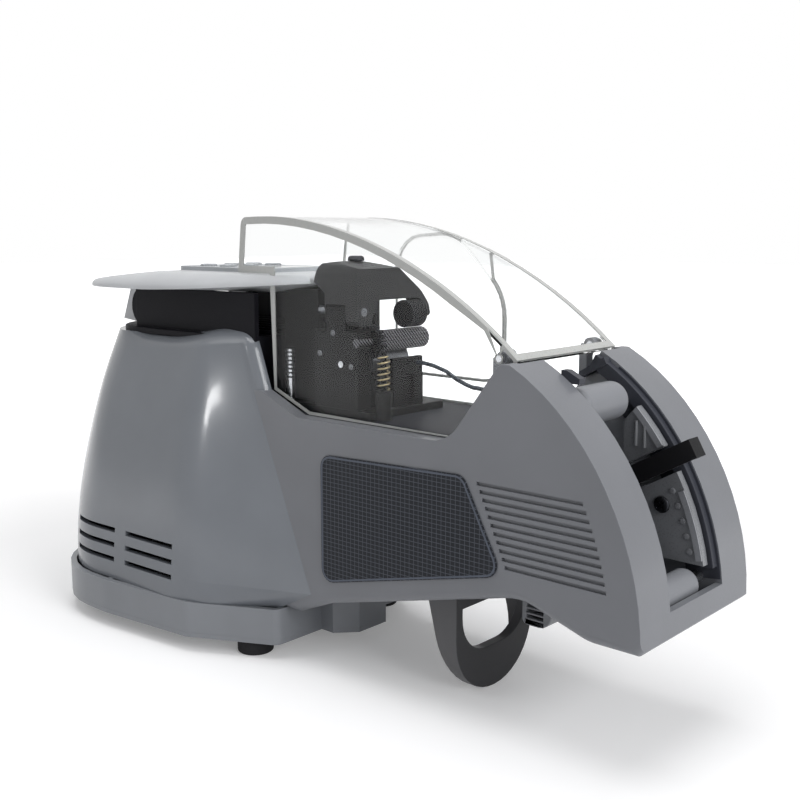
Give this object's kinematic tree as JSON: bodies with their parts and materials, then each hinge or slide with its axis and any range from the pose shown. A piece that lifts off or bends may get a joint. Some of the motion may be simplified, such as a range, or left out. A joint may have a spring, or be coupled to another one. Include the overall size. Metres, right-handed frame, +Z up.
{
  "type": "electric tape dispenser",
  "caption": "Counter-top electric tape dispenser: grey pedestal and arm, roll bay in the nose, clear hinged cover over a feed and cutting head, and a console with push buttons.",
  "frame": {"origin": "table level under the middle of the length and width", "axes": "+X to the nose with the roll bay, +Y to the side away from the label, +Z up"},
  "size_m": [0.366, 0.157, 0.2132],
  "materials": {
    "shell": "satin grey moulding",
    "pale": "pale grey moulding",
    "dark": "dark grey moulding",
    "black": "black moulding",
    "label": "printed film",
    "rubber": "matt",
    "steel": "bright",
    "brass": "bright",
    "clear": "clear moulded sheet",
    "board": "printed circuit board"
  },
  "bodies": {
    "frame": {"feet": "rubber", "base_plate": "dark", "base_screws": "steel", "plinth": "shell", "pedestal_shell": "shell", "arm_shell_near": "shell", "arm_shell_far": "shell", "label_plate": "label", "bay_liner": "black", "bay_trim": "dark", "upper_guide_plate": "dark", "lower_guide_plate": "dark", "plate_screw": "steel", "lever_pin": "steel", "roller_shafts": "steel", "cover_hinge_pins": "steel", "neck_tray": "black", "console_housing": "pale", "console_panel": "dark", "display_lens": "label", "display_module": "board", "keypad_board": "board", "head_base": "black", "head_column": "black", "motor_mount": "black", "press_arm_pin": "steel", "feed_motor": "steel", "head_front_cover": "black", "head_spring": "brass", "threaded_stud": "steel", "cutter_housing": "black", "cutter_motor": "steel", "head_cable": "rubber", "front_leg": "shell", "vent_housing": "shell", "power_supply": "steel", "main_board": "board", "power_inlet": "black", "switch_frame": "black"},
    "cover": {"clear_cover": "clear"},
    "rocker": {"power_switch": "dark"},
    "lever": {"bay_lever": "black"},
    "top_roller": {"top_guide_roller": "pale"},
    "bottom_roller": {"bottom_guide_roller": "pale"},
    "rear_roller": {"rear_bay_roller": "pale"},
    "claw": {"press_arm": "black", "press_arm_screw": "steel"},
    "pressure": {"pressure_roller": "rubber"},
    "feed": {"feed_roller": "rubber", "feed_gear": "brass"},
    "pinion": {"motor_pinion": "steel"},
    "blade": {"cutter_blade": "steel"},
    "key_1": {"button_1": "pale"},
    "key_2": {"button_2": "pale"},
    "key_3": {"button_3": "pale"},
    "key_4": {"button_4": "pale"},
    "key_5": {"button_5": "pale"},
    "key_6": {"button_6": "pale"}
  },
  "joints": [
    {"name": "cover_hinge", "type": "hinge", "parent": "frame", "child": "cover", "pos_m": [0.1117, 0, 0.1563], "axis": [0, 1, 0], "range_deg": [0, 75]},
    {"name": "power_rocker", "type": "hinge", "parent": "frame", "child": "rocker", "pos_m": [-0.011, 0.041, 0.01825], "axis": [0, 0, 1], "range_deg": [-14, 0]},
    {"name": "bay_lever_swing", "type": "hinge", "parent": "frame", "child": "lever", "pos_m": [0.105, 0.009, 0.0825], "axis": [0, 1, 0], "range_deg": [-12, 15]},
    {"name": "top_roller_spin", "type": "hinge", "parent": "frame", "child": "top_roller", "pos_m": [0.136, 0, 0.137], "axis": [0, 1, 0], "continuous": true},
    {"name": "bottom_roller_spin", "type": "hinge", "parent": "frame", "child": "bottom_roller", "pos_m": [0.172, 0, 0.0655], "axis": [0, 1, 0], "continuous": true},
    {"name": "rear_roller_spin", "type": "hinge", "parent": "frame", "child": "rear_roller", "pos_m": [0.12, 0, 0.074], "axis": [0, 1, 0], "continuous": true},
    {"name": "press_arm_lift", "type": "hinge", "parent": "frame", "child": "claw", "pos_m": [0.014, -0.0255, 0.17], "axis": [1, 0, 0], "range_deg": [0, 10]},
    {"name": "pressure_roller_spin", "type": "hinge", "parent": "claw", "child": "pressure", "pos_m": [0.027, 0, 0.1677], "axis": [0, 1, 0], "continuous": true},
    {"name": "feed_roller_spin", "type": "hinge", "parent": "frame", "child": "feed", "pos_m": [0.027, 0, 0.156], "axis": [0, 1, 0], "continuous": true},
    {"name": "motor_pinion_spin", "type": "hinge", "parent": "frame", "child": "pinion", "pos_m": [0.017, 0, 0.14564], "axis": [0, 1, 0], "continuous": true},
    {"name": "blade_drop", "type": "slide", "parent": "frame", "child": "blade", "axis": [0, 0, -1], "range_m": [0, 0.01]},
    {"name": "button_1_press", "type": "slide", "parent": "frame", "child": "key_1", "axis": [0, 0, -1], "range_m": [0, 0.001], "stiffness_N_per_m": 300},
    {"name": "button_2_press", "type": "slide", "parent": "frame", "child": "key_2", "axis": [0, 0, -1], "range_m": [0, 0.001], "stiffness_N_per_m": 300},
    {"name": "button_3_press", "type": "slide", "parent": "frame", "child": "key_3", "axis": [0, 0, -1], "range_m": [0, 0.001], "stiffness_N_per_m": 300},
    {"name": "button_4_press", "type": "slide", "parent": "frame", "child": "key_4", "axis": [0, 0, -1], "range_m": [0, 0.001], "stiffness_N_per_m": 300},
    {"name": "button_5_press", "type": "slide", "parent": "frame", "child": "key_5", "axis": [0, 0, -1], "range_m": [0, 0.001], "stiffness_N_per_m": 300},
    {"name": "button_6_press", "type": "slide", "parent": "frame", "child": "key_6", "axis": [0, 0, -1], "range_m": [0, 0.001], "stiffness_N_per_m": 300}
  ],
  "couplings": [
    {"joint": "motor_pinion_spin", "follows": "feed_roller_spin", "ratio": -1},
    {"joint": "pressure_roller_spin", "follows": "feed_roller_spin", "ratio": -0.769}
  ]
}
